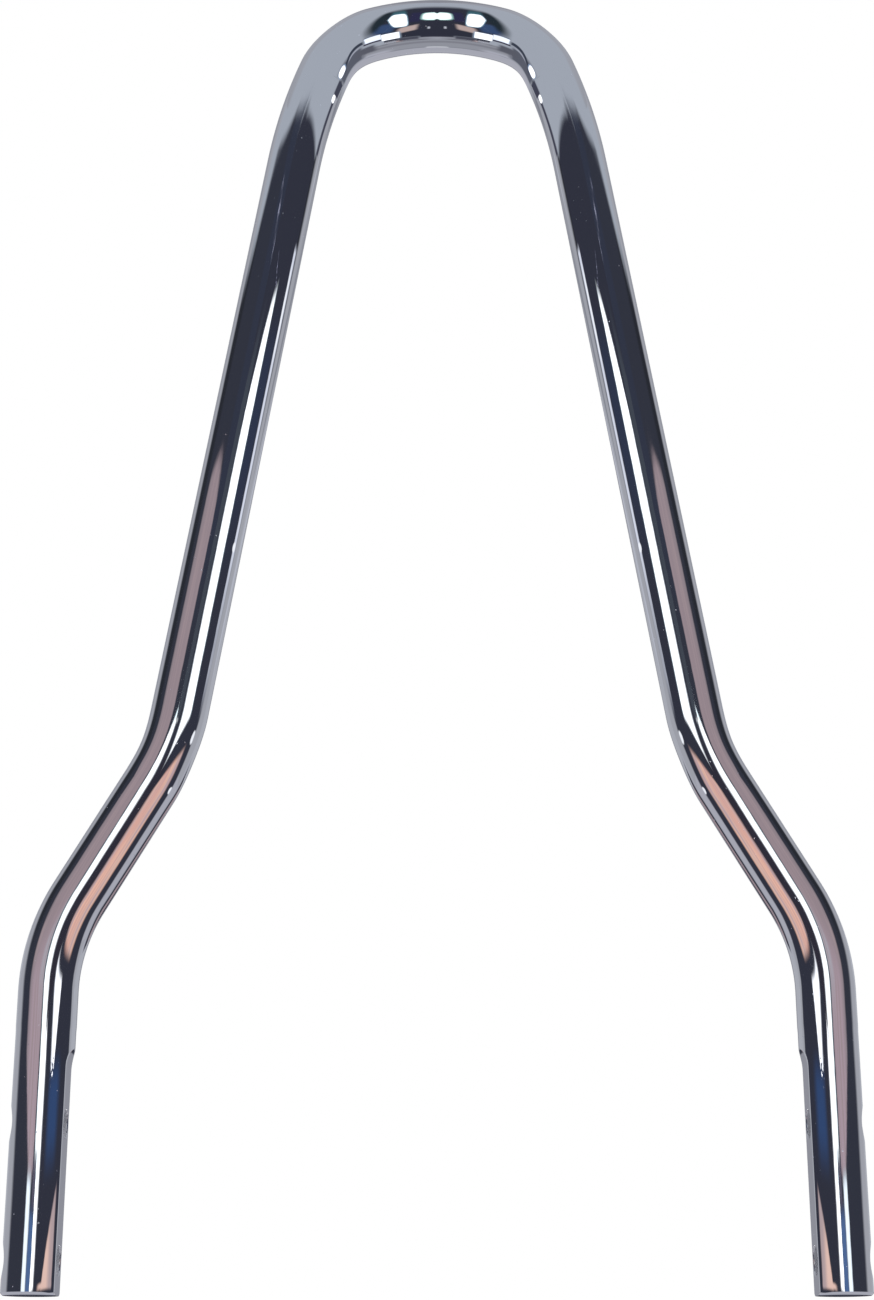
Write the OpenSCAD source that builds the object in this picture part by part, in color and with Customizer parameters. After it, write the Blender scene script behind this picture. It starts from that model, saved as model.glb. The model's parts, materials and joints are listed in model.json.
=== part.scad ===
// Sissy bar: the upright hoop behind a motorbike seat.
// One length of solid round bar, bent in one plane and chrome plated.
// The leg ends stand on Z = 0, the hoop lies in the XZ plane and +Y is its rear.

/* [Bar] */
// Diameter of the round bar
bar_d = 19.05; // [16:0.05:22]

/* [Outline] */
// Overall height, from the leg ends to the top of the crown
overall_h = 461.4; // [400:0.1:540]
// Distance between the centres of the two straight legs
leg_spacing = 247.6; // [225:0.1:300]
// Height of the knee, where a leg's line meets the line of the kick above it
knee_h = 109.4; // [98:0.1:122]
// Height of the waist, where the kick's line meets the line of the taper
waist_h = 172.1; // [160:0.1:210]
// Lean of the long taper away from the vertical, in degrees
taper_lean = 9.2; // [5:0.1:12]

/* [Legs and waist] */
// Centreline radius of the bend at each knee
knee_r = 61.4; // [35:0.1:75]
// Centreline radius of the bend at each waist
waist_r = 78.3; // [35:0.1:90]

/* [Crown] */
// Centreline radius of the shallow arch over the top
crown_r = 80.9; // [50:0.1:120]
// Angle of the arch on each side of its middle
crown_turn = 16.6; // [8:0.1:28]
// Centreline radius of the tight bend at each corner of the crown
corner_r = 28.4; // [22:0.1:50]
// Centreline radius of the easy bend from each corner down to the taper
shoulder_r = 187.2; // [80:0.1:240]
// Angle of the easy bend
shoulder_turn = 12.1; // [5:0.1:20]

/* [Mounting flats] */
// Depth of the flat milled into the inner side of each leg
flat_depth = 1.7; // [1.3:0.05:3]
// Height of the flat, from the leg end to where the cutter leaves the bar
flat_h = 75; // [62:0.1:78]
// Radius of the milling cutter, which shapes the run-out at the top of the flat
cutter_r = 12.7; // [6:0.1:20]

/* [Bolt holes] */
// Diameter of the two bolt holes through each leg
hole_d = 8.7; // [6:0.1:9.5]
// Height of the lower hole above the leg end
hole_h = 10.2; // [8:0.1:13]
// Distance between the centres of the two holes in a leg
hole_pitch = 41.3; // [25:0.1:44]
// Width of the chamfer round each mouth of a hole
hole_chamfer = 0.5; // [0.1:0.1:0.6]

/* [Leg ends] */
// Chamfer round the sawn end of each leg
end_chamfer = 0.8; // [0.2:0.1:2]

/* [Hidden] */
$fn = 96;

// Each half of a bend runs past the bend's middle by this angle
bend_lap = 1;
// The two halves of a bend differ by this much in diameter, which is far too little
// to see or feel, so that they meet in one clean edge
bend_step = 0.008;

bar_r = bar_d / 2;
leg_x = leg_spacing / 2;
crown_h = overall_h - bar_r + bend_step / 2;

// Slope of the bar below the horizontal where the arch, the corner and the shoulder end
arch_slope = crown_turn;
taper_slope = 90 - taper_lean;
corner_slope = taper_slope - shoulder_turn;
corner_turn = corner_slope - arch_slope;

// How far an arc of radius r reaches out and drops between two slopes
function arc_out(r, a, b) = r * (sin(b) - sin(a));
function arc_drop(r, a, b) = r * (cos(a) - cos(b));

// Where the shoulder ends and the straight taper starts
taper_x = arc_out(crown_r, 0, arch_slope)
    + arc_out(corner_r, arch_slope, corner_slope)
    + arc_out(shoulder_r, corner_slope, taper_slope);
taper_h = crown_h
    - arc_drop(crown_r, 0, arch_slope)
    - arc_drop(corner_r, arch_slope, corner_slope)
    - arc_drop(shoulder_r, corner_slope, taper_slope);

// The waist lies on the taper's line, and the kick joins it to the leg
waist_x = taper_x + (taper_h - waist_h) * tan(taper_lean);
kick_lean = atan((leg_x - waist_x) / (waist_h - knee_h));
waist_turn = kick_lean - taper_lean;

// Length of the centreline from where two lines meet to where their bend starts
function set_back(r, turn) = r * tan(turn / 2);
waist_back = set_back(waist_r, waist_turn);
knee_back = set_back(knee_r, kick_lean);

// Straight lengths of bar
taper_l = (taper_h - waist_h) / cos(taper_lean) - waist_back;
kick_l = (waist_h - knee_h) / cos(kick_lean) - waist_back - knee_back;
leg_l = knee_h - knee_back;

// The bar from the middle of the crown down to a leg, one row for each bend:
// the straight length before it, its centreline radius and its turn.
// A positive turn bends the bar inwards as it runs down.
RUN = [
    [0, crown_r, crown_turn],
    [0, corner_r, corner_turn],
    [0, shoulder_r, shoulder_turn],
    [taper_l, waist_r, -waist_turn],
    [kick_l, knee_r, kick_lean],
];

// Diameter of the bar from the middle of one bend to the middle of the next.
// The leg, which comes after the last row, has the full diameter.
function row_d(i) = (len(RUN) - i) % 2 == 0 ? bar_d : bar_d - bend_step;

// Face of the milled flat, and the height up to which it has its full depth
flat_x = leg_x - bar_r + flat_depth;
runout_h = sqrt(cutter_r^2 - (cutter_r - flat_depth)^2);
flat_full_h = flat_h - runout_h;

// How far the cutter and the drill run clear of the bar
clear = bar_d;

// Places its children at the far end of a bend, in line with the bar there.
// The bend starts at the local origin along +Z and turns towards +X.
module after_bend(r, turn) {
    translate([r, 0, 0])
        rotate([0, turn, 0])
            translate([-r, 0, 0])
                children();
}

// A little over half of a bend in bar of diameter d, drawn from the end where the bar enters it
module half_bend(r, turn, d) {
    translate([r, 0, 0])
        rotate([90, 0, 180])
            rotate_extrude(angle = turn / 2 + bend_lap)
                translate([r, 0])
                    circle(d = d);
}

// A whole bend from diameter d1 to d2: its halves start from its ends and overlap in the middle
module bend(r, turn, d1, d2) {
    half_bend(r, turn, d1);
    after_bend(r, turn)
        mirror([0, 0, 1])
            half_bend(r, turn, d2);
}

// The straight leg, pointing along local +Z, and its chamfered end
module leg() {
    cylinder(h = leg_l - end_chamfer, d = bar_d);
    translate([0, 0, leg_l - end_chamfer])
        cylinder(h = end_chamfer, d1 = bar_d, d2 = bar_d - 2 * end_chamfer);
}

// One side of the hoop along local +Z: row i of the run and all that follows it
module side(i = 0) {
    straight_l = RUN[i][0];
    r = RUN[i][1];
    turn = abs(RUN[i][2]);
    outwards = RUN[i][2] < 0 ? 1 : 0;
    if (straight_l > 0)
        cylinder(h = straight_l, d = row_d(i));
    translate([0, 0, straight_l])
        mirror([outwards, 0, 0]) {
            bend(r, turn, row_d(i), row_d(i + 1));
            after_bend(r, turn)
                mirror([outwards, 0, 0])
                    if (i + 1 < len(RUN))
                        side(i + 1);
                    else
                        leg();
        }
}

// What the milling cutter takes off the inner side of the right leg
module flat_cut() {
    rotate([90, 0, 0])
        linear_extrude(height = bar_d + clear, center = true) {
            translate([flat_x - clear, -clear])
                square([clear, flat_full_h + clear]);
            translate([flat_x - cutter_r, flat_full_h])
                circle(r = cutter_r);
        }
}

// One bolt hole along +X through the right leg, with a chamfer at both mouths
module bolt_hole() {
    hole_r = hole_d / 2;
    mouth_r = hole_r + hole_chamfer;
    // The round outer side drops away from its crest, so that chamfer starts further in
    outer_mouth_x = leg_x + sqrt(bar_r^2 - mouth_r^2);
    rotate([0, 90, 0]) {
        translate([0, 0, flat_x - clear])
            cylinder(h = bar_d + 2 * clear, r = hole_r);
        translate([0, 0, flat_x - hole_chamfer])
            cylinder(h = 2 * hole_chamfer, r1 = mouth_r + hole_chamfer, r2 = hole_r);
        translate([0, 0, outer_mouth_x - hole_chamfer])
            cylinder(h = bar_r, r1 = hole_r, r2 = hole_r + bar_r);
    }
}

// The right half of the hoop, with its flat and its two bolt holes
module half_hoop() {
    difference() {
        translate([0, 0, crown_h])
            rotate([0, 90, 0])
                side();
        flat_cut();
        for (h = [hole_h, hole_h + hole_pitch])
            translate([0, 0, h])
                bolt_hole();
    }
}

// The whole bar: two mirrored halves that meet in the middle of the crown
module hoop() {
    color([0.78, 0.79, 0.81]) {
        half_hoop();
        mirror([1, 0, 0])
            half_hoop();
    }
}

hoop();
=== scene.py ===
import json
import math

import bmesh
import bpy
import numpy as np
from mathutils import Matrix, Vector

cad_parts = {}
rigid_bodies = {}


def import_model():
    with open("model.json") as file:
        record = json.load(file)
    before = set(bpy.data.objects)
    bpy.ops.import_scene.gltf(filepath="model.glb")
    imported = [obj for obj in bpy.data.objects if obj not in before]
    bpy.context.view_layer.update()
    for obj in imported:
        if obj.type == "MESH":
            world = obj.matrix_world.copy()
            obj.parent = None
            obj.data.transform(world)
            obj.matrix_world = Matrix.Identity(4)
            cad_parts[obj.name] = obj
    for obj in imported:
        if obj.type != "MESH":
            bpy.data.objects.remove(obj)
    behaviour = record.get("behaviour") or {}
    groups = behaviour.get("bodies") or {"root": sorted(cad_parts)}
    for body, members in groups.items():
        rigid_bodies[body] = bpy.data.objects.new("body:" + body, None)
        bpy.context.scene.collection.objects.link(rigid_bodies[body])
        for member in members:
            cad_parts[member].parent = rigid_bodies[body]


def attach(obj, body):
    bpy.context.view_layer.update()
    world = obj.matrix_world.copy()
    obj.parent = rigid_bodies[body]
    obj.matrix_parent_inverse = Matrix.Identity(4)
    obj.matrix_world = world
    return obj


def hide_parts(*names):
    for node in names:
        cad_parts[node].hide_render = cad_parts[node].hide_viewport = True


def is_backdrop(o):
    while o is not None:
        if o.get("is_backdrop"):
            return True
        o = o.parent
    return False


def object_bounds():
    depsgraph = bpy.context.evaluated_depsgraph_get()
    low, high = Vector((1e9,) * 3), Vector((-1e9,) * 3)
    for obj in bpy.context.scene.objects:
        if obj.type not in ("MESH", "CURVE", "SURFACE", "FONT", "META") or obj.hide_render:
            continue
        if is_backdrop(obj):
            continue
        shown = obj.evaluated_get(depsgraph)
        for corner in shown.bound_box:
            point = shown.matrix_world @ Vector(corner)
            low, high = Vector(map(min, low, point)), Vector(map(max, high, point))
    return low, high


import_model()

CAD_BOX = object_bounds()

# Sizes of the bar, in millimetres and degrees
BAR_R = 9.525
OVERALL_H = 461.4
LEG_X = 123.8
KNEE_H, WAIST_H, TAPER_LEAN = 109.4, 172.1, 9.2
KNEE_R, WAIST_R = 61.4, 78.3
CROWN_R, CROWN_TURN = 80.9, 16.6
CORNER_R = 28.4
SHOULDER_R, SHOULDER_TURN = 187.2, 12.1
FLAT_DEPTH, FLAT_H, CUTTER_R = 1.7, 75.0, 12.7
HOLE_R, HOLE_H, HOLE_PITCH, HOLE_CHAMFER = 4.35, 10.2, 41.3, 0.5
END_CHAMFER = 0.8
# How much the tight bends flatten the bar in the hoop's plane
CORNER_SQUASH, WAIST_SQUASH = 0.05, 0.03
# How widely polishing rounds over the edges of the sawn end, of the flat and of a hole's outer mouth
END_ROUND, FLAT_ROUND, MOUTH_ROUND = 0.3, 0.28, 0.9
# A radius that no part of the bar reaches
FAR = 99.0
# Points round the bar and round a bolt hole
AROUND, HOLE_AROUND = 160, 96
# The leg with its flat and holes is drawn on its own up to this height
CUT_TOP = 82.0


def rad(a):
    return a * math.pi / 180


def centreline():
    """Stations from the middle of the crown down to CUT_TOP on the right leg:
    x, z, slope below the horizontal, distance along the bar, in-plane squash."""
    rows = []

    def arc(start, r, turn, squash=0.0):
        """Adds the stations of a bend, one for each degree or so, and gives its far end."""
        x, z, a, s = start
        sign = 1.0 if turn > 0 else -1.0
        n = max(2, math.ceil(abs(turn)))

        def station(k):
            b = a + turn * k / n
            return (x + sign * r * (math.sin(rad(b)) - math.sin(rad(a))),
                    z - sign * r * (math.cos(rad(a)) - math.cos(rad(b))),
                    b, s + r * rad(abs(turn)) * k / n)

        rows.extend((*station(k), squash * math.sin(math.pi * k / n) ** 2) for k in range(n))
        return station(n)

    def line(start, length, n):
        """Adds the n stations of a straight length, and gives its far end."""
        x, z, a, s = start

        def station(k):
            t = length * k / n
            return x + t * math.cos(rad(a)), z - t * math.sin(rad(a)), a, s + t

        rows.extend((*station(k), 0.0) for k in range(n))
        return station(n)

    at = arc((0.0, OVERALL_H - BAR_R, 0.0, 0.0), CROWN_R, CROWN_TURN)
    at = arc(at, CORNER_R, 90 - TAPER_LEAN - SHOULDER_TURN - CROWN_TURN, CORNER_SQUASH)
    at = arc(at, SHOULDER_R, SHOULDER_TURN)
    x, z = at[:2]
    waist_x = x + (z - WAIST_H) * math.tan(rad(TAPER_LEAN))
    kick = math.degrees(math.atan((LEG_X - waist_x) / (WAIST_H - KNEE_H)))
    waist_turn = kick - TAPER_LEAN
    waist_back = WAIST_R * math.tan(rad(waist_turn / 2))
    knee_back = KNEE_R * math.tan(rad(kick / 2))
    at = line(at, (z - WAIST_H) / math.cos(rad(TAPER_LEAN)) - waist_back, 22)
    at = arc(at, WAIST_R, -waist_turn, WAIST_SQUASH)
    at = line(at, (WAIST_H - KNEE_H) / math.cos(rad(kick)) - waist_back - knee_back, 6)
    at = arc(at, KNEE_R, kick)
    at = line(at, at[1] - CUT_TOP, 2)
    rows.append((*at, 0.0))
    return np.array(rows)


PATH = centreline()
# Distance along the bar at the leg's end
LEG_S = PATH[-1, 3] + CUT_TOP
ANGLES = np.arange(AROUND) * 2 * math.pi / AROUND
# How high the cutter's run-out is, and the face of the milled flat on the leg's inner side
RUNOUT = math.sqrt(CUTTER_R ** 2 - (CUTTER_R - FLAT_DEPTH) ** 2)
FLAT_X = LEG_X - BAR_R + FLAT_DEPTH


def tube(path):
    """Points and exact normals of the bent bar: rings of AROUND points, angle 0 at the front."""
    x, z, a, s, squash = path.T
    slope = np.radians(a)
    middle = np.stack([x, 0 * x, z], -1)[:, None]
    along = np.stack([np.cos(slope), 0 * slope, -np.sin(slope)], -1)[:, None]
    # away from the hoop's inside
    out = np.stack([np.sin(slope), 0 * slope, np.cos(slope)], -1)[:, None]
    front = np.array([0.0, -1.0, 0.0])
    c, sn = np.cos(ANGLES)[None, :, None], np.sin(ANGLES)[None, :, None]
    wide = BAR_R * (1 - squash)
    pts = middle + BAR_R * c * front + wide[:, None, None] * sn * out
    # exact tangents round the bar and along it, with the change of width by differences
    around = -BAR_R * sn * front + wide[:, None, None] * c * out
    growth = np.gradient(wide, s)[:, None, None] * sn * out
    nrm = np.cross(around, along + growth)
    nrm /= np.linalg.norm(nrm, axis=-1, keepdims=True)
    flip = np.sign((nrm * (pts - middle)).sum(-1, keepdims=True))
    return pts, nrm * flip


def soft_min(a, b, k):
    """The smaller of two lengths, rounded over where they differ by less than k."""
    h = np.maximum(k - np.abs(a - b), 0) / k
    return np.minimum(a, b) - h * h * k / 4


def leg_radius(phi, z):
    """Distance of the leg's skin from its axis: round stock with a sawn end, and the flat,
    with polished edges. The rounding of the sawn end's edge also takes a quarter of END_ROUND
    off the rest of the leg, which is too little to see."""
    end = soft_min(BAR_R - np.maximum(END_CHAMFER - z, 0), BAR_R, END_ROUND)
    rise = np.clip(z - (FLAT_H - RUNOUT), 0, CUTTER_R - 0.01)
    depth = FLAT_DEPTH - (CUTTER_R - np.sqrt(CUTTER_R ** 2 - rise ** 2))
    inward = -np.sin(phi)
    flat = np.where(inward > 0.05, (BAR_R - depth) / np.maximum(inward, 0.05), FAR)
    return soft_min(end, flat, FLAT_ROUND)


def leg_point(phi, z):
    """The point of the leg's skin at angle phi and height z."""
    rho = leg_radius(phi, z)
    return np.stack([LEG_X + rho * np.sin(phi), -rho * np.cos(phi), z], -1)


def leg_normal(phi, z):
    """The outward normal there, by small differences."""
    e = 1e-3
    du = leg_point(phi + e, z) - leg_point(phi - e, z)
    dv = leg_point(phi, z + e) - leg_point(phi, z - e)
    n = np.cross(du, dv)
    n /= np.linalg.norm(n, axis=-1, keepdims=True)
    radial = np.stack([np.sin(phi), -np.cos(phi), 0 * phi], -1)
    return n * np.sign((n * radial).sum(-1, keepdims=True))


def hole_profile():
    """The bolt hole's wall from inside the hoop outwards: x, radius, and the wall's normal
    along x and along the radius. Both mouths are rounded over, as polished and plated edges are.
    The first two rows are the cutter's plain start, clear of the flat."""
    mouth_r = HOLE_R + HOLE_CHAMFER
    rows = [(FLAT_X - 8.0, mouth_r + 0.03, -1.0, 0.0), (FLAT_X - 0.02, mouth_r + 0.03, -1.0, 0.0)]
    for k in range(7):
        t = k / 6 * math.pi / 2
        rows.append((FLAT_X + HOLE_CHAMFER * (1 - math.cos(t)),
                     HOLE_R + HOLE_CHAMFER * (1 - math.sin(t)),
                     -math.cos(t), -math.sin(t)))
    start_x = LEG_X + math.sqrt(BAR_R ** 2 - mouth_r ** 2) - HOLE_CHAMFER
    back = MOUTH_ROUND * math.tan(math.pi / 8)
    for k in range(6):
        t = k / 5 * math.pi / 4
        rows.append((start_x - back + MOUTH_ROUND * math.sin(t),
                     HOLE_R + MOUTH_ROUND * (1 - math.cos(t)),
                     math.sin(t), -math.cos(t)))
    rows.append((start_x + BAR_R, HOLE_R + BAR_R, math.sqrt(0.5), -math.sqrt(0.5)))
    return np.array(rows)


def mesh_object(name, verts, faces, slots=()):
    me = bpy.data.meshes.new(name)
    me.from_pydata([tuple(v) for v in verts], [], [tuple(f) for f in faces])
    me.validate()
    for slot in slots:
        me.materials.append(bpy.data.materials.get(slot) or bpy.data.materials.new(slot))
    ob = bpy.data.objects.new(name, me)
    bpy.context.scene.collection.objects.link(ob)
    return ob


def fix_winding(ob):
    bm = bmesh.new()
    bm.from_mesh(ob.data)
    bmesh.ops.recalc_face_normals(bm, faces=bm.faces)
    bm.to_mesh(ob.data)
    bm.free()


def band(low, high, n):
    """The faces between two rings of n points that start at the indices low and high."""
    return [(low + j, low + (j + 1) % n, high + (j + 1) % n, high + j) for j in range(n)]


def leg_blank():
    """The right leg before drilling, closed at both ends. Its slots tell the skin, the holes,
    the cap where the tube goes on and the sawn end apart."""
    heights = [0.0, 0.12, 0.26, 0.4, 0.52, 0.62, 0.7, 0.78, 0.86, 0.94, 1.1, 2.0]
    heights += [*np.arange(4.0, 66.0, 3.0), *np.arange(67.0, 76.2, 0.33), 78.0, 80.0]
    rings = [leg_point(ANGLES, np.full(AROUND, h)) for h in heights]
    # the last ring is the tube's own, so that the two weld
    rings.append(tube(PATH[-2:])[0][-1])
    faces = [face for i in range(len(rings) - 1) for face in band(i * AROUND, (i + 1) * AROUND, AROUND)]
    sawn = len(faces)
    # the sawn end: rings that shrink to the middle
    starts = [0] + [(len(rings) + i) * AROUND for i in range(3)]
    for outer, inner in zip(starts[:-1], starts[1:]):
        faces += band(inner, outer, AROUND)
    faces.append([starts[-1] + j for j in range(AROUND)][::-1])
    faces.append([(len(rings) - 1) * AROUND + j for j in range(AROUND)])
    middle = np.array([LEG_X + FLAT_DEPTH * 0.3, 0.0, 0.0])
    rings += [middle + (rings[0] - middle) * f for f in (0.8, 0.5, 0.2)]
    leg = mesh_object("scratch_leg", np.vstack(rings) / 1000, faces, ("skin", "hole", "cap", "sawn"))
    for p in leg.data.polygons[sawn:]:
        p.material_index = 3
    leg.data.polygons[-1].material_index = 2
    fix_winding(leg)
    return leg


def drill(leg, profile):
    """Cuts the two bolt holes."""
    n = HOLE_AROUND
    turn = np.arange(n) * 2 * math.pi / n
    last = (len(profile) - 1) * n
    faces = [face for start in range(0, last, n) for face in band(start, start + n, n)]
    faces += [list(range(n))[::-1], [last + j for j in range(n)]]
    for h in (HOLE_H, HOLE_H + HOLE_PITCH):
        rings = [np.stack([np.full(n, x), r * np.cos(turn), h + r * np.sin(turn)], -1)
                 for x, r, _, _ in profile]
        cutter = mesh_object("scratch_cutter", np.vstack(rings) / 1000, faces, ("skin", "hole"))
        fix_winding(cutter)
        for p in cutter.data.polygons:
            p.material_index = 1
        mod = leg.modifiers.new("drill", "BOOLEAN")
        mod.operation, mod.solver, mod.object = "DIFFERENCE", "EXACT", cutter


def corner_normals(kind, q, wall):
    """The drilled leg's normals at the corners q of one face; wall is the hole's profile
    from its inner mouth on."""
    if kind == "skin":
        return leg_normal(np.arctan2(q[:, 0] - LEG_X, -q[:, 1]), q[:, 2])
    if kind == "sawn":
        return np.tile([0.0, 0.0, -1.0], (len(q), 1))
    h = HOLE_H if q[:, 2].mean() < HOLE_H + HOLE_PITCH / 2 else HOLE_H + HOLE_PITCH
    radial = np.stack([0 * q[:, 0], q[:, 1], q[:, 2] - h], -1)
    radial /= np.maximum(np.linalg.norm(radial, axis=-1, keepdims=True), 1e-6)
    share_x = np.interp(q[:, 0], wall[:, 0], wall[:, 2])
    share_r = np.interp(q[:, 0], wall[:, 0], wall[:, 3])
    n = radial * share_r[:, None] + np.array([1.0, 0, 0]) * share_x[:, None]
    return n / np.linalg.norm(n, axis=-1, keepdims=True)


def leg_mesh():
    """The drilled right leg: vertices, faces, one normal for each face corner, bar coordinates,
    and which faces line a bore."""
    profile = hole_profile()
    leg = leg_blank()
    drill(leg, profile)
    bpy.context.view_layer.update()
    done = bpy.data.meshes.new_from_object(leg.evaluated_get(bpy.context.evaluated_depsgraph_get()))
    co = np.array([v.co for v in done.vertices]) * 1000
    names = [m.name if m else "" for m in done.materials]
    faces, normals, bores = [], [], []
    for p in done.polygons:
        kind = names[p.material_index]
        if kind == "cap":
            continue
        corners = list(p.vertices)
        q = co[corners]
        faces.append(corners)
        normals.append(corner_normals(kind, q, profile[2:]))
        # the straight wall between the rounded mouths
        bores.append(kind == "hole" and np.ptp(q[:, 0]) > 2)
    phi = np.arctan2(co[:, 0] - LEG_X, -co[:, 1])
    rho = np.hypot(co[:, 0] - LEG_X, co[:, 1])
    bar = np.stack([LEG_S - co[:, 2], rho * np.cos(phi), rho * np.sin(phi)], -1)
    for ob in [o for o in bpy.data.objects if o.name.startswith("scratch_")]:
        bpy.data.objects.remove(ob)
    return co, faces, normals, bar, bores


def tube_mesh():
    """The same five lists for the right half of the tube."""
    pts, nrm = tube(PATH)
    rings = len(pts)
    nrm = nrm.reshape(-1, 3)
    bar = np.stack([np.repeat(PATH[:, 3], AROUND),
                    BAR_R * np.tile(np.cos(ANGLES), rings), BAR_R * np.tile(np.sin(ANGLES), rings)], -1)
    faces = []
    for i in range(rings - 1):
        for j in range(AROUND):
            k = (j + 1) % AROUND
            faces.append([i * AROUND + j, (i + 1) * AROUND + j, (i + 1) * AROUND + k, i * AROUND + k])
    return pts.reshape(-1, 3), faces, [nrm[face] for face in faces], bar, [False] * len(faces)


def hoop_mesh():
    """The whole bar as one closed mesh: mirrored halves of tube and drilled leg,
    welded where they meet."""
    right = [tube_mesh(), leg_mesh()]
    flip = np.array([-1.0, 1.0, 1.0])
    left = [(v * flip, [face[::-1] for face in faces], [n[::-1] * flip for n in normals],
             bar * flip, bores) for v, faces, normals, bar, bores in right]
    faces, normals, bores = [], [], []
    offset = 0
    for part_verts, part_faces, part_normals, _, part_bores in right + left:
        faces += [[i + offset for i in face] for face in part_faces]
        normals += part_normals
        bores += part_bores
        offset += len(part_verts)
    verts = np.vstack([part[0] for part in right + left])
    bar = np.vstack([part[3] for part in right + left])
    # weld the points that coincide
    _, first, back = np.unique(np.round(verts, 4), axis=0, return_index=True, return_inverse=True)
    back = back.ravel()
    kept_faces, kept_normals, kept_bores = [], [], []
    for face, n, bore in zip(faces, normals, bores):
        h = [int(back[i]) for i in face]
        keep = [i for i in range(len(h)) if h[i] != h[i - 1]]
        if len(keep) < 3:
            continue
        kept_faces.append([h[i] for i in keep])
        kept_normals.append(n[keep])
        kept_bores.append(float(bore))
    me = bpy.data.meshes.new("hoop_bar")
    me.from_pydata([tuple(p) for p in verts[first] / 1000], [], kept_faces)
    attr = me.attributes.new("bar_pos", "FLOAT_VECTOR", "POINT")
    attr.data.foreach_set("vector", (bar[first] / 1000).astype(np.float32).ravel())
    bore_attr = me.attributes.new("bore", "FLOAT", "FACE")
    bore_attr.data.foreach_set("value", kept_bores)
    me.polygons.foreach_set("use_smooth", [True] * len(me.polygons))
    # every corner has its exact normal, so that the reflections run true
    me.normals_split_custom_set([tuple(x) for n in kept_normals for x in n])
    me.update()
    return me


hoop = bpy.data.objects.new("hoop_bar", hoop_mesh())
bpy.context.scene.collection.objects.link(hoop)
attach(hoop, "root")
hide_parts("hoop")


class Tree:
    """Short names for the nodes of one shader."""

    def __init__(self, tree):
        self.t = tree
        tree.nodes.clear()

    def node(self, kind, **inputs):
        n = self.t.nodes.new(kind)
        for k, v in inputs.items():
            self.put(n.inputs[k], v)
        return n

    def put(self, socket, v):
        if isinstance(v, bpy.types.NodeSocket):
            self.t.links.new(v, socket)
        elif isinstance(v, (tuple, list)) and len(v) == 3 and socket.type == "RGBA":
            socket.default_value = (*v, 1.0)
        else:
            socket.default_value = v

    def math(self, op, a, b=0.0, c=0.0, clamp=False):
        n = self.t.nodes.new("ShaderNodeMath")
        n.operation, n.use_clamp = op, clamp
        for s, v in zip(n.inputs, (a, b, c)):
            self.put(s, v)
        return n.outputs[0]

    def add(self, a, b):
        return self.math("ADD", a, b)

    def sub(self, a, b):
        return self.math("SUBTRACT", a, b)

    def mul(self, a, *rest):
        for b in rest:
            a = self.math("MULTIPLY", a, b)
        return a

    def line(self, x, slope, rise):
        """slope times x, plus rise."""
        return self.math("MULTIPLY_ADD", x, slope, rise)

    def past(self, x, edge):
        """How far x is above edge, and 0 below it."""
        return self.math("MAXIMUM", self.sub(x, edge), 0.0)

    def power(self, x, n):
        return self.math("POWER", self.math("ABSOLUTE", x), n)

    def angle(self, x, y):
        """The angle in degrees from the direction of y towards that of x."""
        return self.mul(self.math("ARCTAN2", x, y), 180 / math.pi)

    def step(self, x, lo, hi):
        """0 at lo, 1 at hi, smooth between; lo may be above hi."""
        n = self.t.nodes.new("ShaderNodeMapRange")
        n.interpolation_type = "SMOOTHSTEP"
        self.put(n.inputs[0], x)
        fixed = not isinstance(lo, bpy.types.NodeSocket) and not isinstance(hi, bpy.types.NodeSocket)
        flip = fixed and lo > hi
        a, b = (hi, lo) if flip else (lo, hi)
        self.put(n.inputs[1], a)
        self.put(n.inputs[2], b)
        n.inputs[3].default_value = 1.0 if flip else 0.0
        n.inputs[4].default_value = 0.0 if flip else 1.0
        return n.outputs[0]

    def between(self, x, start, full, fade, end):
        """1 from full to fade, and 0 before start and after end."""
        return self.mul(self.step(x, start, full), self.step(x, end, fade))

    def above(self, x, edge, soft):
        """1 where x is above edge, which may be a socket."""
        return self.step(self.sub(x, edge), -soft, soft)

    def below(self, x, edge, soft):
        """1 where x is below edge, which may be a socket."""
        return self.step(self.sub(x, edge), soft, -soft)

    def mix(self, base, colour, mask):
        n = self.t.nodes.new("ShaderNodeMix")
        n.data_type = "RGBA"
        self.put(n.inputs[0], mask)
        self.put(n.inputs[6], base)
        self.put(n.inputs[7], colour)
        return n.outputs[2]

    def split(self, vec):
        return self.node("ShaderNodeSeparateXYZ", Vector=vec).outputs

    def attribute(self, name, output):
        n = self.node("ShaderNodeAttribute")
        n.attribute_name = name
        return n.outputs[output]

    def wide(self, x, y, dx, dy):
        """Two coordinates as a vector, each counted in its own step."""
        n = self.node("ShaderNodeCombineXYZ", X=self.mul(x, 1.0 / dx), Y=self.mul(y, 1.0 / dy))
        return n.outputs[0]

    def noise(self, vec, scale, detail, rough=0.5, stretch=None):
        if stretch is not None:
            vec = self.node("ShaderNodeMapping", Vector=vec, Scale=stretch).outputs[0]
        n = self.node("ShaderNodeTexNoise", Vector=vec, Scale=scale, Detail=detail, Roughness=rough)
        return n.outputs["Fac"]

    def bump(self, height, strength, distance, normal=None):
        n = self.node("ShaderNodeBump", Height=height, Strength=strength, Distance=distance)
        if normal is not None:
            self.put(n.inputs["Normal"], normal)
        return n.outputs[0]

    def blend(self, mask, first, second):
        """The first shader where mask is 0 and the second where it is 1."""
        n = self.node("ShaderNodeMixShader")
        for socket, v in zip(n.inputs, (mask, first, second)):
            self.put(socket, v)
        return n.outputs[0]

    def mirrored(self, paths):
        """1 for the rays that metal and glass send on."""
        return self.math("MAXIMUM", paths["Is Glossy Ray"], paths["Is Transmission Ray"])


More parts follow.
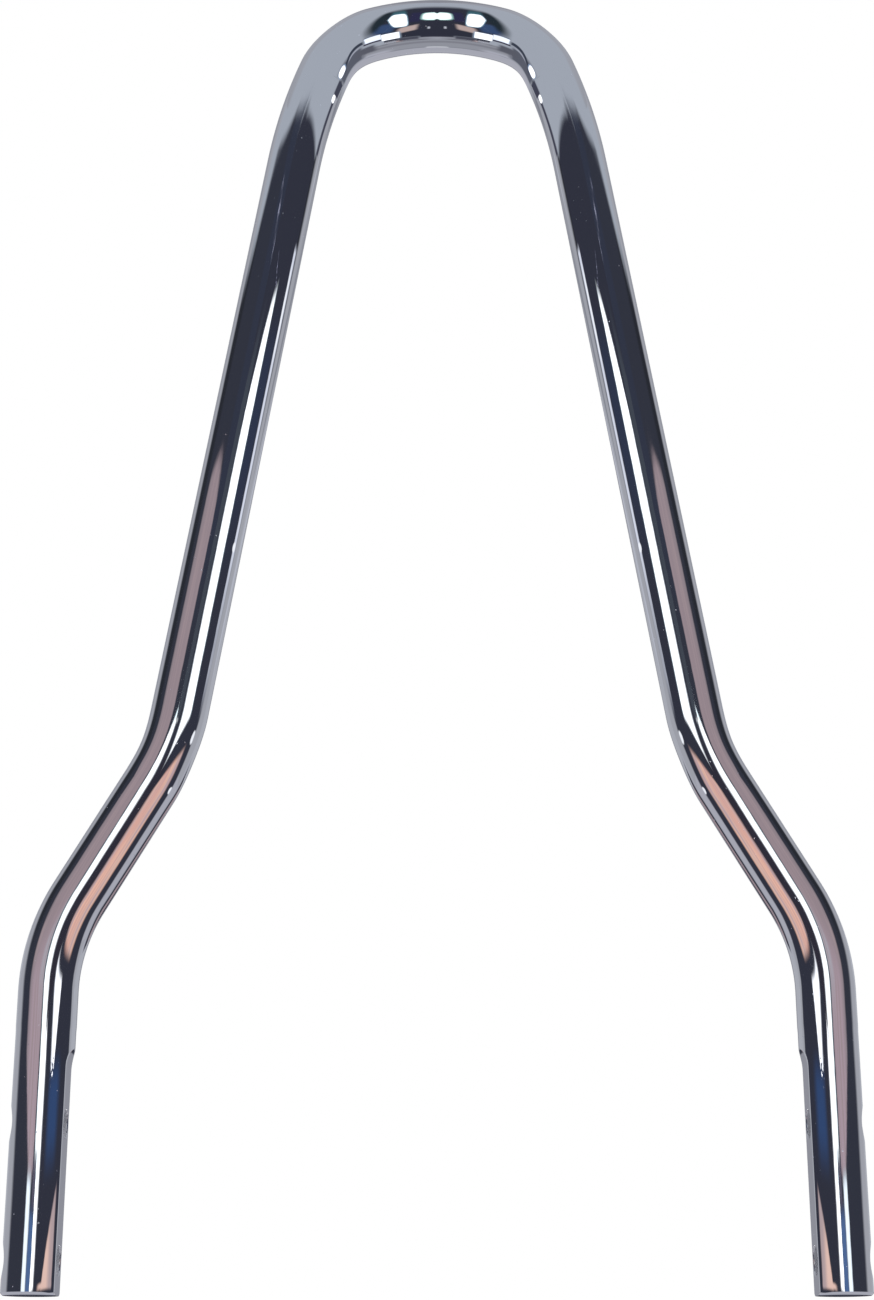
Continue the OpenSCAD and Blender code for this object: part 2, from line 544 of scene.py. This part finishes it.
def chrome_material():
    mat = bpy.data.materials.new("chrome_plate")
    mat.use_nodes = True
    t = Tree(mat.node_tree)
    p = t.attribute("bar_pos", "Vector")
    cloud = t.noise(p, 55.0, 4.0, 0.6, stretch=(0.25, 1.0, 1.0))
    tone = t.mix((0.745, 0.75, 0.765), (0.775, 0.785, 0.80), cloud)
    rough = t.add(t.mul(cloud, 0.03), 0.022)
    # tiny pits in the plate, thickest along a few lengthwise lines
    cell = t.node("ShaderNodeTexVoronoi", Vector=p, Scale=700.0).outputs
    pick = t.split(cell["Color"])[0]
    streak = t.mul(t.step(t.noise(p, 210.0, 1.0, 0.5, stretch=(0.05, 1.0, 1.0)), 0.60, 0.70), 0.12)
    along, _, inward = t.split(p)
    seam = t.mul(t.between(inward, -0.0038, -0.0034, -0.0030, -0.0026),
                 t.between(along, 0.095, 0.11, 0.215, 0.235))
    few = t.sub(0.982, t.math("MAXIMUM", streak, t.mul(seam, 0.42)))
    pit = t.mul(t.step(cell["Distance"], 0.24, 0.10), t.above(pick, few, 0.01))
    rough = t.add(rough, t.mul(pit, 0.42))
    tone = t.mix(tone, (0.92, 0.94, 1.0), pit)
    # the bolt holes are plated thinly and stay dull
    dull = t.attribute("bore", "Fac")
    tone = t.mix(tone, (0.50, 0.505, 0.55), dull)
    rough = t.math("MAXIMUM", rough, t.mul(dull, 0.38))
    # fine lengthwise drawing lines over a slow wave
    relief = t.bump(t.noise(p, 900.0, 2.0, 0.6, stretch=(0.12, 1.0, 1.0)), 0.02, 0.0004)
    relief = t.bump(t.noise(p, 34.0, 2.0, 0.5, stretch=(0.35, 1.0, 1.0)), 0.05, 0.001, relief)
    s = t.node("ShaderNodeBsdfPrincipled", Roughness=rough, Metallic=t.line(dull, -0.75, 1.0))
    t.put(s.inputs["Base Color"], tone)
    t.put(s.inputs["Normal"], relief)
    t.node("ShaderNodeOutputMaterial", Surface=s.outputs[0])
    return mat


hoop.data.materials.append(chrome_material())


# Colours that the cards, the floor and the world share
GREY = (0.45, 0.488, 0.562)
DARK = (0.040, 0.044, 0.064)
WHITE = (1.9, 1.92, 1.98)
GROUND = (0.49, 0.495, 0.565)
MAUVE = (0.385, 0.303, 0.335)
# The large card in front: radius, turn to each side, foot and top
DRUM_R, DRUM_TURN, DRUM_FOOT, DRUM_TOP = 900.0, 130.0, -30.0, 1250.0
# The card inside each arm: gap to the bar, back and front edges, foot and top, the height on the
# bar that it follows it from, and how near the mid-plane it turns upright
LINER_GAP, LINER_BACK, LINER_FRONT = 20.0, 12.0, -900.0
LINER_FOOT, LINER_TOP, LINER_FROM, LINER_TURN_X = -34.0, 1200.0, 385.0, 1.0
# The small card round the crown: radius, height of its axis, and reach to each side
COVE_R, COVE_Z, COVE_X = 27.0, 452.0, 34.0
# The card along the inner side of the crown and shoulder: gap to the bar, and its length along it
SLEEVE_GAP, SLEEVE_LENGTH = 3.5, 92.0
# Radius and height of the floor, in metres
FLOOR_R, FLOOR_Z = 4.0, -0.035


class Paint(Tree):
    """The light that a stage card gives, built up by laying one soft-edged patch over another.
    Places are in millimetres: across from the mid-plane, front from the bar's plane, and up."""

    def __init__(self, name, ground):
        self.material = bpy.data.materials.new(name)
        self.material.use_nodes = True
        super().__init__(self.material.node_tree)
        x, y, z = self.split(self.node("ShaderNodeTexCoord").outputs["Object"])
        self.across = self.mul(self.math("ABSOLUTE", x), 1000.0)
        self.front = self.mul(y, -1000.0)
        self.up = self.mul(z, 1000.0)
        self.colour = ground

    def patch(self, colour, *masks):
        self.colour = self.mix(self.colour, colour, self.mul(*masks))

    def spot(self, colour, x, y, at, size):
        """A soft oval patch."""
        far = self.add(self.power(self.mul(self.sub(x, at[0]), 1.0 / size[0]), 2.0),
                       self.power(self.mul(self.sub(y, at[1]), 1.0 / size[1]), 2.0))
        self.patch(colour, self.step(far, 1.3, 0.5))

    def facing(self):
        """1 on the face of the card that is turned to the bar it follows."""
        return self.sub(1.0, self.node("ShaderNodeNewGeometry").outputs["Backfacing"])

    def finish(self, cover=None):
        """Where cover is given, the card lets light through wherever cover is 0."""
        light = self.node("ShaderNodeEmission", Color=self.colour).outputs[0]
        if cover is not None:
            light = self.blend(cover, self.node("ShaderNodeBsdfTransparent").outputs[0], light)
        self.node("ShaderNodeOutputMaterial", Surface=light)
        return self.material


def drum_material():
    """The light in front of and beside the hoop, as the outer sides of the bar reflect it:
    painted by the angle away from the front (a) and the height (z)."""
    t = Paint("studio_drum", DARK)
    z = t.up
    a = t.angle(t.across, t.front)
    t.patch((0.040, 0.047, 0.076), t.step(a, 30.0, 20.0), t.step(z, 480.0, 620.0))
    t.patch((0.027, 0.030, 0.040), t.step(a, 78.0, 92.0), t.step(z, 300.0, 560.0))
    # pale grey above
    top = t.add(t.math("MINIMUM", t.line(a, 4.8, 942.0), 1095.0), t.mul(t.step(a, 70.0, 105.0), -135.0))
    soft = t.line(t.math("MINIMUM", a, 50.0), 0.75, 12.0)
    t.patch(GREY, t.step(t.math("DIVIDE", t.sub(z, top), soft), -1.0, 1.0))
    # a dotted line of small lights
    dots = t.step(t.noise(t.wide(a, z, 9.0, 4.0), 1.0, 2.0), 0.56, 0.62)
    path = t.sub(a, t.line(z, 0.16, -130.2))
    t.patch((0.80, 0.82, 1.10), t.between(path, -2.0, -1.0, 1.0, 2.0),
            t.between(z, 790.0, 830.0, 920.0, 950.0), dots)
    # pale grey at the side
    side = t.add(t.line(t.step(z, 60.0, 180.0), 5.0, 94.0), t.mul(t.step(z, 180.0, 680.0), 12.5))
    t.patch((0.44, 0.45, 0.50), t.above(a, side, 7.0))
    # mauve panel
    u = t.math("MULTIPLY_ADD", a, 1 / 52.0, -13 / 52.0, clamp=True)
    high = t.line(t.sub(1.0, t.math("POWER", t.sub(1.0, u), 2.6)), 163.0, 586.0)
    low = t.math("MAXIMUM", t.line(a, 80 / 35.0, 32.0), 112.0)
    mauve = t.mix((0.50, 0.38, 0.44), MAUVE, t.step(z, 180.0, 450.0))
    glow = t.mul(t.step(a, 40.0, 26.0), t.between(z, 200.0, 260.0, 300.0, 360.0))
    mauve = t.mix(mauve, (0.50, 0.47, 0.53), glow)
    mauve = t.mix(mauve, (0.31, 0.262, 0.29), t.mul(t.step(a, 50.0, 66.0), 0.7))
    streaks = t.noise(t.wide(a, z, 7.0, 260.0), 1.0, 2.0)
    mauve = t.mix(mauve, (0.43, 0.335, 0.36), t.step(streaks, 0.48, 0.66))
    t.patch(mauve, t.between(a, 17.0, 21.0, 64.0, 71.0), t.below(z, high, 14.0), t.above(z, low, 7.0))
    # low strip, and the blue and mauve shapes beside it
    t.patch((1.25, 1.38, 1.5), t.between(a, 20.0, 26.0, 34.0, 38.5),
            t.between(z, 18.0, 30.0, 100.0, 118.0))
    t.patch((0.10, 0.18, 0.38), t.between(a, 5.0, 9.0, 19.0, 23.0), t.step(z, 96.0, 80.0))
    t.patch((0.12, 0.11, 0.16), t.between(a, 6.0, 9.0, 15.0, 18.0),
            t.between(z, 85.0, 100.0, 120.0, 134.0))
    # main strip light with a blue-green fringe, and its longer middle
    edge = t.line(t.step(z, 150.0, 350.0), 1.1, 13.8)
    ends = t.between(z, 120.0, 140.0, 412.0, 432.0)
    t.patch((0.30, 0.44, 0.47), t.below(a, t.add(edge, 1.6), 1.8), ends)
    t.patch(WHITE, t.below(a, edge, 2.4), ends)
    long_ends = t.between(z, 10.0, 25.0, 412.0, 432.0)
    t.patch((1.2, 1.7, 1.9), t.step(a, 7.0, 5.0), long_ends)
    t.patch(WHITE, t.step(a, 4.0, 1.0), long_ends)
    return t.finish()


def liner_material():
    """The light that the inner sides of the bar reflect:
    painted by distance to the front (y) and height (z)."""
    t = Paint("studio_liner", (0.038, 0.041, 0.062))
    y, z = t.front, t.up
    # the dark ground is bluer on the upper arms, redder beside the kick, and greyer far in front
    t.patch((0.036, 0.047, 0.088), t.between(y, 4.0, 10.0, 20.0, 40.0),
            t.between(z, 225.0, 290.0, 315.0, 345.0))
    t.patch((0.036, 0.033, 0.050), t.step(y, 40.0, 60.0), t.between(z, 100.0, 108.0, 170.0, 190.0))
    rise = t.sub(z, t.mul(y, 0.42))
    t.patch((0.066, 0.078, 0.102), t.step(y, 85.0, 125.0), t.step(z, 195.0, 220.0),
            t.step(rise, 345.0, 300.0))
    # big soft box
    left = t.line(z, 0.03, 20.0)
    top = t.line(t.past(y, 42.0), -0.75, 350.0)
    right = t.line(z, 0.12, 47.0)
    foot = t.line(y, -0.42, 196.0)
    tall = t.mul(t.below(z, top, 7.0), t.above(z, foot, 3.5))
    t.patch((0.34, 0.47, 0.52), t.above(y, t.sub(left, 1.4), 1.4), t.below(y, right, 12.0), tall)
    t.patch(WHITE, t.above(y, left, 1.6), t.below(y, t.sub(right, 2.0), 12.0), tall)
    # a dotted line of small lights that leads to the box's tip
    dots = t.step(t.noise(t.wide(y, z, 3.0, 1.6), 1.0, 2.0), 0.50, 0.60)
    path = t.sub(y, t.line(z, 1.2, -388.5))
    t.patch((0.62, 0.64, 0.92), t.between(path, -1.5, -0.5, 0.5, 1.5),
            t.between(z, 349.0, 352.0, 380.0, 388.0), dots)
    # salmon panel
    low = t.line(t.mul(y, y), 0.0033, 101.7)
    salmon = t.mix((0.85, 0.56, 0.475), (0.88, 0.50, 0.42), t.step(y, 18.0, 27.0))
    salmon = t.mix(salmon, (0.78, 0.54, 0.51), t.step(y, 35.0, 48.0))
    streaks = t.noise(t.wide(y, z, 5.0, 34.0), 1.0, 2.0)
    salmon = t.mix(salmon, (0.62, 0.44, 0.47), t.step(streaks, 0.50, 0.66))
    salmon = t.mix(salmon, (1.0, 0.60, 0.47), t.step(streaks, 0.46, 0.34))
    t.patch(salmon, t.above(y, 12.5, 2.0), t.step(y, 58.0, 42.0),
            t.below(z, t.line(y, -0.42, 174.5), 3.0), t.above(z, low, 1.2))
    # blue shape below the knee
    t.patch((0.040, 0.080, 0.20), t.between(y, 10.0, 22.0, 34.0, 62.0),
            t.between(z, 34.0, 54.0, 64.0, 80.0))
    # second strip light
    bitten = t.line(t.noise(t.wide(y, z, 5.0, 1.3), 1.0, 2.0), 26.0, 60.5)
    t.patch((1.7, 1.74, 1.85), t.above(y, t.line(z, -0.37, 59.3), 1.5),
            t.below(y, t.line(z, 0.25, 26.0), 6.0), t.above(z, bitten, 0.5),
            t.below(z, t.sub(low, 4.2), 1.2))
    # salmon wedge near the floor
    near_floor = t.mul(t.step(y, 12.0, 22.0), t.step(z, 30.0, 12.0))
    cream = t.mix((0.56, 0.43, 0.44), (0.97, 0.66, 0.57), near_floor)
    t.patch(cream, t.above(y, 8.3, 1.5), t.below(z, t.line(y, -1.12, 43.6), 2.0), t.above(z, 3.0, 1.0))
    t.patch(cream, t.above(y, 8.3, 1.5), t.step(y, 66.0, 40.0),
            t.above(z, 3.2, 0.7), t.below(z, 5.0, 0.7))
    # main strip light, sharp below the knee and fading in above it
    knee = t.line(t.past(y, 200.0), 0.17, 104.0)
    knee = t.math("MINIMUM", knee, t.line(y, 0.45, 42.0))
    t.patch(WHITE, t.step(y, 95.0, 150.0), t.above(z, t.line(y, 0.035, 2.0), 1.5),
            t.below(z, knee, 4.0))
    eave = t.line(y, 0.263, 171.0)
    t.patch((1.5, 1.55, 1.6), t.step(y, 170.0, 390.0), t.above(z, knee, 4.0), t.below(z, eave, 3.0))
    t.patch((0.55, 0.58, 0.60), t.step(y, 130.0, 170.0), t.above(z, t.sub(eave, 1.5), 1.0),
            t.below(z, t.add(eave, 1.5), 1.0))
    # pale line along the back edge, with lit spots
    dark_from = t.add(t.line(t.step(z, 100.0, 112.0), 6.0, -4.5), t.mul(t.step(z, 195.0, 210.0), 1.0))
    dark_from = t.add(dark_from, t.mul(t.step(z, 360.0, 372.0), -2.0))
    line = t.mul(t.between(y, -3.5, 0.5, 3.6, 5.6), t.line(t.step(z, 205.0, 255.0), 0.35, 0.65),
                 t.step(z, 367.0, 362.0), t.step(z, 180.0, 205.0))
    t.patch((0.86, 0.90, 1.04), line)
    for at, size in (((3.5, 174.5), (3.4, 3.2)), ((2.5, 151.0), (3.4, 1.8)), ((3.0, 247.0), (3.5, 2.0)),
                     ((2.5, 338.0), (2.0, 20.0))):
        t.spot((1.15, 1.18, 1.25), y, z, at, size)
    cover = t.math("MAXIMUM", line, t.above(y, dark_from, 1.6))
    # pale grey above
    top = t.add(t.line(y, 0.544, 401.9), t.mul(t.past(y, 100.0), 0.048))
    t.patch(GREY, t.step(t.math("DIVIDE", t.sub(z, top), t.line(y, 0.011, 2.0)), -1.0, 1.0))
    # the crown sees past the card to the cove
    dz = t.sub(z, COVE_Z)
    far = t.math("SQRT", t.add(t.mul(y, y), t.mul(dz, dz)))
    bound = t.line(t.past(y, 11.0), -0.35, 432.5)
    open_to_cove = t.mul(t.step(far, 28.0, 26.5), t.above(z, bound, 0.4))
    cover = t.mul(cover, t.sub(1.0, open_to_cove))
    # and only the bar that the card follows sees it
    return t.finish(t.mul(cover, t.facing()))


def cove_material():
    """The light that the crown reflects:
    painted by distance from the mid-plane (x) and angle above the level (a)."""
    t = Paint("studio_cove", (0.036, 0.039, 0.060))
    x = t.across
    a = t.angle(t.sub(t.up, COVE_Z), t.front)
    t.patch((0.022, 0.034, 0.046), t.step(x, 16.0, 19.0))
    t.patch((0.034, 0.034, 0.085), t.between(x, 4.8, 6.0, 8.5, 10.0),
            t.between(a, -20.0, -10.0, 15.0, 25.0))
    # middle soft box: a rounded bar that is a little narrower on the mid-plane
    half = t.line(t.step(x, 0.0, 1.1), 4.0, 11.0)
    u = t.power(t.mul(x, 1 / 5.4), 4.0)
    v = t.power(t.math("DIVIDE", t.sub(a, 3.5), half), 4.0)
    t.patch((0.30, 0.52, 0.50), t.step(t.add(u, v), 1.5, 0.9))
    t.patch((1.6, 1.86, 1.8), t.step(t.add(u, v), 1.0, 0.35))
    # a small light below it
    t.patch((0.62, 0.64, 0.72), t.between(x, 1.7, 2.1, 2.4, 2.8),
            t.between(a, -43.0, -39.0, -36.0, -32.0))
    # slanting soft box with a glow above it, and a blue shape and a salmon panel below it
    left = t.line(a, 0.065, 10.1)
    right = t.math("MINIMUM", t.line(a, 0.135, 16.8), 17.0)
    t.patch((0.06, 0.16, 0.20), t.above(x, left, 1.0), t.below(x, right, 1.0),
            t.between(a, 12.0, 20.0, 24.0, 42.0))
    t.patch((0.05, 0.09, 0.20), t.between(x, 11.5, 13.5, 17.0, 19.5),
            t.between(a, -46.0, -36.0, -18.0, -8.0))
    slant = t.add(a, t.mul(x, 1.6))
    t.patch((0.62, 0.48, 0.45), t.between(x, 4.8, 6.4, 10.0, 11.8),
            t.between(slant, -36.0, -30.0, -18.0, -12.0))
    middle = t.mul(t.add(left, right), 0.5)
    u = t.power(t.math("DIVIDE", t.sub(x, middle), t.mul(t.sub(right, left), 0.5)), 4.0)
    v = t.power(t.mul(t.add(a, 4.0), 1 / 24.0), 5.0)
    t.patch((0.30, 0.48, 0.60), t.step(t.add(u, v), 1.7, 1.0))
    t.patch(WHITE, t.step(t.add(u, v), 1.1, 0.6))
    # pale grey outside the dark shape
    bend = t.sub(a, 3.0)
    rim = t.sub(22.8, t.mul(t.mul(bend, bend), 0.0026))
    high = t.line(t.past(x, 9.0), -0.7, 44.0)
    inside = t.math("MAXIMUM", t.below(x, rim, 1.8), t.step(a, -38.0, -44.0))
    shape = t.mul(inside, t.below(a, high, 9.0))
    t.patch(GREY, t.sub(1.0, shape))
    return t.finish(t.step(a, -76.0, -68.0))


def sleeve_material():
    """The painted lights and dark bands that the inner side of the crown and shoulders mirror, as
    painted reflections
    of small lights and dark seams: painted by distance along the bar (s, in mm) and angle round it (f,
    in degrees)."""
    t = Paint("studio_sleeve", GREY)
    s, f, _ = t.split(t.attribute("sleeve_pos", "Vector"))
    cover = 0.0

    def lay(colour, mask):
        nonlocal cover
        t.patch(colour, mask)
        cover = t.math("MAXIMUM", cover, mask)

    def box(s0, s1, f0, f1, soft_s, soft_f):
        """1 between s0 and s1 and between f0 and f1, with soft sides."""
        return t.mul(t.between(s, s0 - soft_s, s0 + soft_s, s1 - soft_s, s1 + soft_s),
                     t.between(f, f0 - soft_f, f0 + soft_f, f1 - soft_f, f1 + soft_f))

    def oval(s0, f0, ds, df):
        """1 in an oval with its middle at s0 and f0."""
        u = t.power(t.mul(t.sub(s, s0), 1 / ds), 3.0)
        v = t.power(t.mul(t.sub(f, f0), 1 / df), 3.0)
        return t.step(t.add(u, v), 1.25, 0.75)

    # plain grey on the front of the corner and beside the shoulder's lights
    lay(GREY, t.mul(t.between(s, 28.0, 30.5, 50.0, 60.0), t.step(f, 9.0, 4.0),
                    t.step(f, -60.0, -50.0)))
    lay(GREY, t.mul(t.between(s, 40.0, 46.0, 66.0, 72.0), t.step(f, -16.0, -22.0),
                    t.step(f, -66.0, -58.0)))
    # the ground's plain grey round the underside of the crown
    lay(GROUND, t.mul(t.step(s, 54.0, 44.0), t.between(f, -144.0, -138.0, -102.0, -96.0)))
    # grey lines under the crown
    grain = t.noise(t.wide(s, f, 14.0, 5.0), 1.0, 2.0)
    lay((0.36, 0.37, 0.42), box(-9.0, 33.0, -100.0, -66.0, 3.0, 4.0))
    t.patch((0.27, 0.275, 0.32), box(-9.0, 33.0, -81.5, -75.0, 3.0, 2.5))
    t.patch((0.20, 0.205, 0.24), box(3.0, 24.0, -71.0, -61.0, 4.0, 2.5), t.step(grain, 0.42, 0.58))
    t.patch((0.50, 0.51, 0.59), box(19.0, 32.0, -105.0, -90.0, 3.0, 4.0))
    # dark band that the corner mirrors as a dark seam, with a pale line in it: a painted reflection
    lay((0.13, 0.14, 0.18), box(31.0, 50.0, -95.0, -53.0, 1.5, 5.0))
    lay((0.13, 0.135, 0.17), box(25.0, 34.0, -81.0, -60.0, 2.0, 4.0))
    bend = t.sub(s, 31.0)
    centre = t.sub(-45.0, t.mul(t.mul(bend, bend), 0.19))
    off = t.sub(f, centre)
    lay((0.46, 0.48, 0.57), t.mul(t.between(off, -10.5, -8.0, -6.5, -4.5),
                                 t.between(s, 31.5, 33.5, 37.0, 40.0)))
    lay((0.05, 0.06, 0.09), t.mul(t.between(off, -5.5, -3.0, 2.5, 5.0),
                                 t.between(s, 29.5, 31.0, 42.5, 44.5)))
    lay((0.06, 0.055, 0.09), box(21.5, 30.5, -55.5, -51.0, 0.5, 1.0))
    lay((0.066, 0.07, 0.105), box(50.0, 57.0, -91.0, -66.0, 0.8, 3.5))
    lay((0.066, 0.066, 0.10), box(55.0, 84.0, -82.0, -72.0, 1.5, 2.2))
    # dark ground below the end of the strip light
    lay((0.085, 0.088, 0.12), box(7.0, 15.5, -67.0, -58.5, 1.0, 1.5))
    # lights
    lay((0.28, 0.40, 0.55), box(14.2, 22.0, -57.5, -39.5, 0.7, 1.2))
    lay(WHITE, box(14.8, 22.0, -57.0, -40.5, 0.3, 1.0))
    lay((1.3, 1.4, 1.6), box(22.0, 29.5, -51.0, -37.5, 0.4, 1.0))
    lay((0.28, 0.38, 0.55), oval(45.8, -62.5, 4.6, 9.4))
    lay(WHITE, oval(46.0, -62.5, 3.9, 8.4))
    lay(WHITE, oval(58.5, -73.5, 1.7, 6.6))
    return t.finish(t.mul(cover, t.facing()))


def only_reflected(ob):
    """Hides a card from all but reflections, and marks it as part of the studio."""
    ob.visible_camera = False
    ob.visible_diffuse = False
    ob.visible_shadow = False
    ob.visible_transmission = False
    ob.visible_volume_scatter = False
    ob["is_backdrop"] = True
    return ob


def sheet_of(name, rows, material):
    """A card through rows of points, one row beside the next."""
    n = len(rows[0])
    v = [p for row in rows for p in row]
    f = [(i * n + k, i * n + k + 1, (i + 1) * n + k + 1, (i + 1) * n + k)
         for i in range(len(rows) - 1) for k in range(n - 1)]
    ob = mesh_object(name, [tuple(c / 1000 for c in p) for p in v], f)
    ob.data.materials.append(material)
    return only_reflected(ob)


def drum():
    """An upright open cylinder in front of the hoop."""
    turns = np.radians(np.linspace(-DRUM_TURN, DRUM_TURN, 96))
    rows = [[(DRUM_R * math.sin(q), -DRUM_R * math.cos(q), h) for q in turns]
            for h in (DRUM_FOOT, DRUM_TOP)]
    sheet_of("studio_drum", rows, drum_material())


def liners():
    """A card on each side that follows the inside of the bar, goes straight on above the taper,
    and turns upright just before the mid-plane."""
    off = BAR_R + LINER_GAP
    rows = PATH[PATH[:, 1] < LINER_FROM]
    line = [(x - off * math.sin(rad(s)), z - off * math.cos(rad(s))) for x, z, s in rows[:, :3]]
    top_x, top_z = line[0]
    turn_z = top_z + (top_x - LINER_TURN_X) / math.tan(rad(TAPER_LEAN))
    line = [(LINER_TURN_X, LINER_TOP), (LINER_TURN_X, turn_z)] + line + [(line[-1][0], LINER_FOOT)]
    material = liner_material()
    for side, word in ((1, "right"), (-1, "left")):
        ends = [[(side * x, y, z) for x, z in line] for y in (LINER_BACK, LINER_FRONT)]
        sheet_of("studio_liner_" + word, ends[::-side], material)


def cove():
    """A small curved card round the front of the crown."""
    turns = np.radians(np.linspace(-100, 60, 54))
    rows = [[(x, -COVE_R * math.cos(q), COVE_Z + COVE_R * math.sin(q)) for q in turns]
            for x in (-COVE_X, COVE_X)]
    sheet_of("studio_cove", rows, cove_material())


def sleeves():
    """A card on each side, close to the inner side of the crown and the shoulder."""
    r = BAR_R + SLEEVE_GAP
    rows = PATH[PATH[:, 3] < SLEEVE_LENGTH]
    turns = np.arange(-145.0, 11.0, 2.0)
    material = sleeve_material()
    for side, word in ((1, "right"), (-1, "left")):
        card = []
        for x, z, slope, _, _ in rows:
            out_x, out_z = math.sin(rad(slope)), math.cos(rad(slope))
            card.append([(side * (x + r * math.sin(rad(f)) * out_x), -r * math.cos(rad(f)),
                          z + r * math.sin(rad(f)) * out_z) for f in turns])
        ob = sheet_of("studio_sleeve_" + word, card[::side], material)
        place = ob.data.attributes.new("sleeve_pos", "FLOAT_VECTOR", "POINT")
        where = [(row[3], f, 0.0) for row in rows[::side] for f in turns]
        place.data.foreach_set("vector", np.ravel(where).astype(np.float32))


drum()
liners()
cove()
sleeves()


def rear_light(t, x, y):
    """What the back of the bar reflects of the ground behind it, painted by the angle away
    from straight behind (b): a strip light in a dark field, with a mauve panel at each side."""
    b = t.angle(t.math("ABSOLUTE", x), y)
    light = t.mix(GROUND, DARK, t.between(b, 2.5, 4.5, 38.0, 46.0))
    light = t.mix(light, MAUVE, t.between(b, 20.0, 22.0, 30.0, 33.0))
    return t.mix(light, WHITE, t.step(b, 6.0, 4.5))


def floor():
    """A wide pale disc; the metal sees it as grey, with lights behind the hoop."""
    n = 64
    turns = [2 * math.pi * k / n for k in range(n)]
    v = [(0, 0, FLOOR_Z)] + [(FLOOR_R * math.cos(q), FLOOR_R * math.sin(q), FLOOR_Z) for q in turns]
    f = [(0, 1 + k, 1 + (k + 1) % n) for k in range(n)]
    ob = mesh_object("studio_floor", v, f)
    mat = bpy.data.materials.new("studio_floor")
    mat.use_nodes = True
    t = Tree(mat.node_tree)
    x, y, _ = t.split(t.node("ShaderNodeTexCoord").outputs["Object"])
    plain_floor = t.node("ShaderNodeBsdfDiffuse", Color=(0.86, 0.86, 0.86)).outputs[0]
    light = t.node("ShaderNodeEmission", Color=rear_light(t, x, y)).outputs[0]
    paths = t.node("ShaderNodeLightPath").outputs
    t.node("ShaderNodeOutputMaterial", Surface=t.blend(t.mirrored(paths), plain_floor, light))
    ob.data.materials.append(mat)
    ob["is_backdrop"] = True


floor()


def world():
    """White to the camera, a soft grey light on dull surfaces, and a studio for the metal to mirror."""
    w = bpy.data.worlds.new("studio")
    bpy.context.scene.world = w
    w.use_nodes = True
    t = Tree(w.node_tree)
    x, y, z = t.split(t.node("ShaderNodeTexCoord").outputs["Generated"])
    a = t.angle(t.math("ABSOLUTE", x), t.mul(y, -1.0))
    level = t.math("SQRT", t.add(t.mul(x, x), t.mul(y, y)))
    rise = t.math("DIVIDE", z, t.math("MAXIMUM", level, 0.001))
    # behind the hoop: paler near the horizon, darker straight behind, with lengthwise bands
    back = t.mix((0.49, 0.505, 0.56), (0.36, 0.37, 0.415), t.step(rise, 0.2, 0.5))
    back = t.mix(back, (0.42, 0.435, 0.49), t.step(rise, 0.8, 1.2))
    along = t.sub(a, t.mul(rise, 150.0))
    low_arm = t.mul(t.between(rise, 0.15, 0.20, 0.42, 0.48), t.step(a, 112.0, 120.0))
    for colour, rim in (((0.28, 0.29, 0.335), (79.0, 84.0, 87.0, 92.0)),
                        ((0.58, 0.60, 0.69), (98.0, 102.0, 104.0, 108.0)),
                        ((0.54, 0.56, 0.64), (63.0, 66.0, 69.0, 72.0))):
        back = t.mix(back, colour, t.mul(t.between(along, *rim), low_arm))
    back = t.mix(back, (0.31, 0.315, 0.36), t.step(a, 158.0, 166.0))
    studio = t.mix(GREY, back, t.step(a, 80.0, 105.0))
    below = t.mul(t.step(rise, 0.0, -0.02), t.step(a, 90.0, 105.0))
    studio = t.mix(studio, rear_light(t, x, y), below)
    soft, seen, white = (t.node("ShaderNodeBackground", Color=colour, Strength=1.0).outputs[0]
                         for colour in ((0.72, 0.73, 0.75), studio, (1.0, 1.0, 1.0)))
    paths = t.node("ShaderNodeLightPath").outputs
    light = t.blend(t.mirrored(paths), soft, seen)
    t.node("ShaderNodeOutputWorld", Surface=t.blend(paths["Is Camera Ray"], light, white))


world()


def lamp(name, place, target, size, watts):
    data = bpy.data.lights.new(name, "AREA")
    data.shape, data.size, data.energy = "DISK", size, watts
    ob = bpy.data.objects.new(name, data)
    ob.location = place
    ob.rotation_euler = (Vector(target) - Vector(place)).to_track_quat("-Z", "Y").to_euler()
    ob.visible_glossy = False
    bpy.context.scene.collection.objects.link(ob)


lamp("lamp_over", (0.5, -0.9, 1.9), (0, 0, 0.1), 1.2, 16)


# The camera's focal length and the frame's height in pixels, and its tilt above the level
FOCAL, FRAME_HEIGHT, TILT = 2200.0, 1300.0, 18.653

cam_data = bpy.data.cameras.new("camera")
cam_data.sensor_width = 36.0
cam_data.lens = FOCAL * cam_data.sensor_width / FRAME_HEIGHT
cam_data.clip_start = 0.01
cam = bpy.data.objects.new("camera", cam_data)
cam.location = (0.0, -0.69889, -0.027985)
cam.rotation_euler = (rad(90 + TILT), 0.0, 0.0)
bpy.context.scene.collection.objects.link(cam)
bpy.context.scene.camera = cam

bpy.context.scene.view_settings.view_transform = "Standard"


def plain(v):
    return [[float(c) for c in p] for p in v] if hasattr(v[0], "__len__") else [float(c) for c in v]


{"cad": plain(CAD_BOX), "visual": plain(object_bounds())}
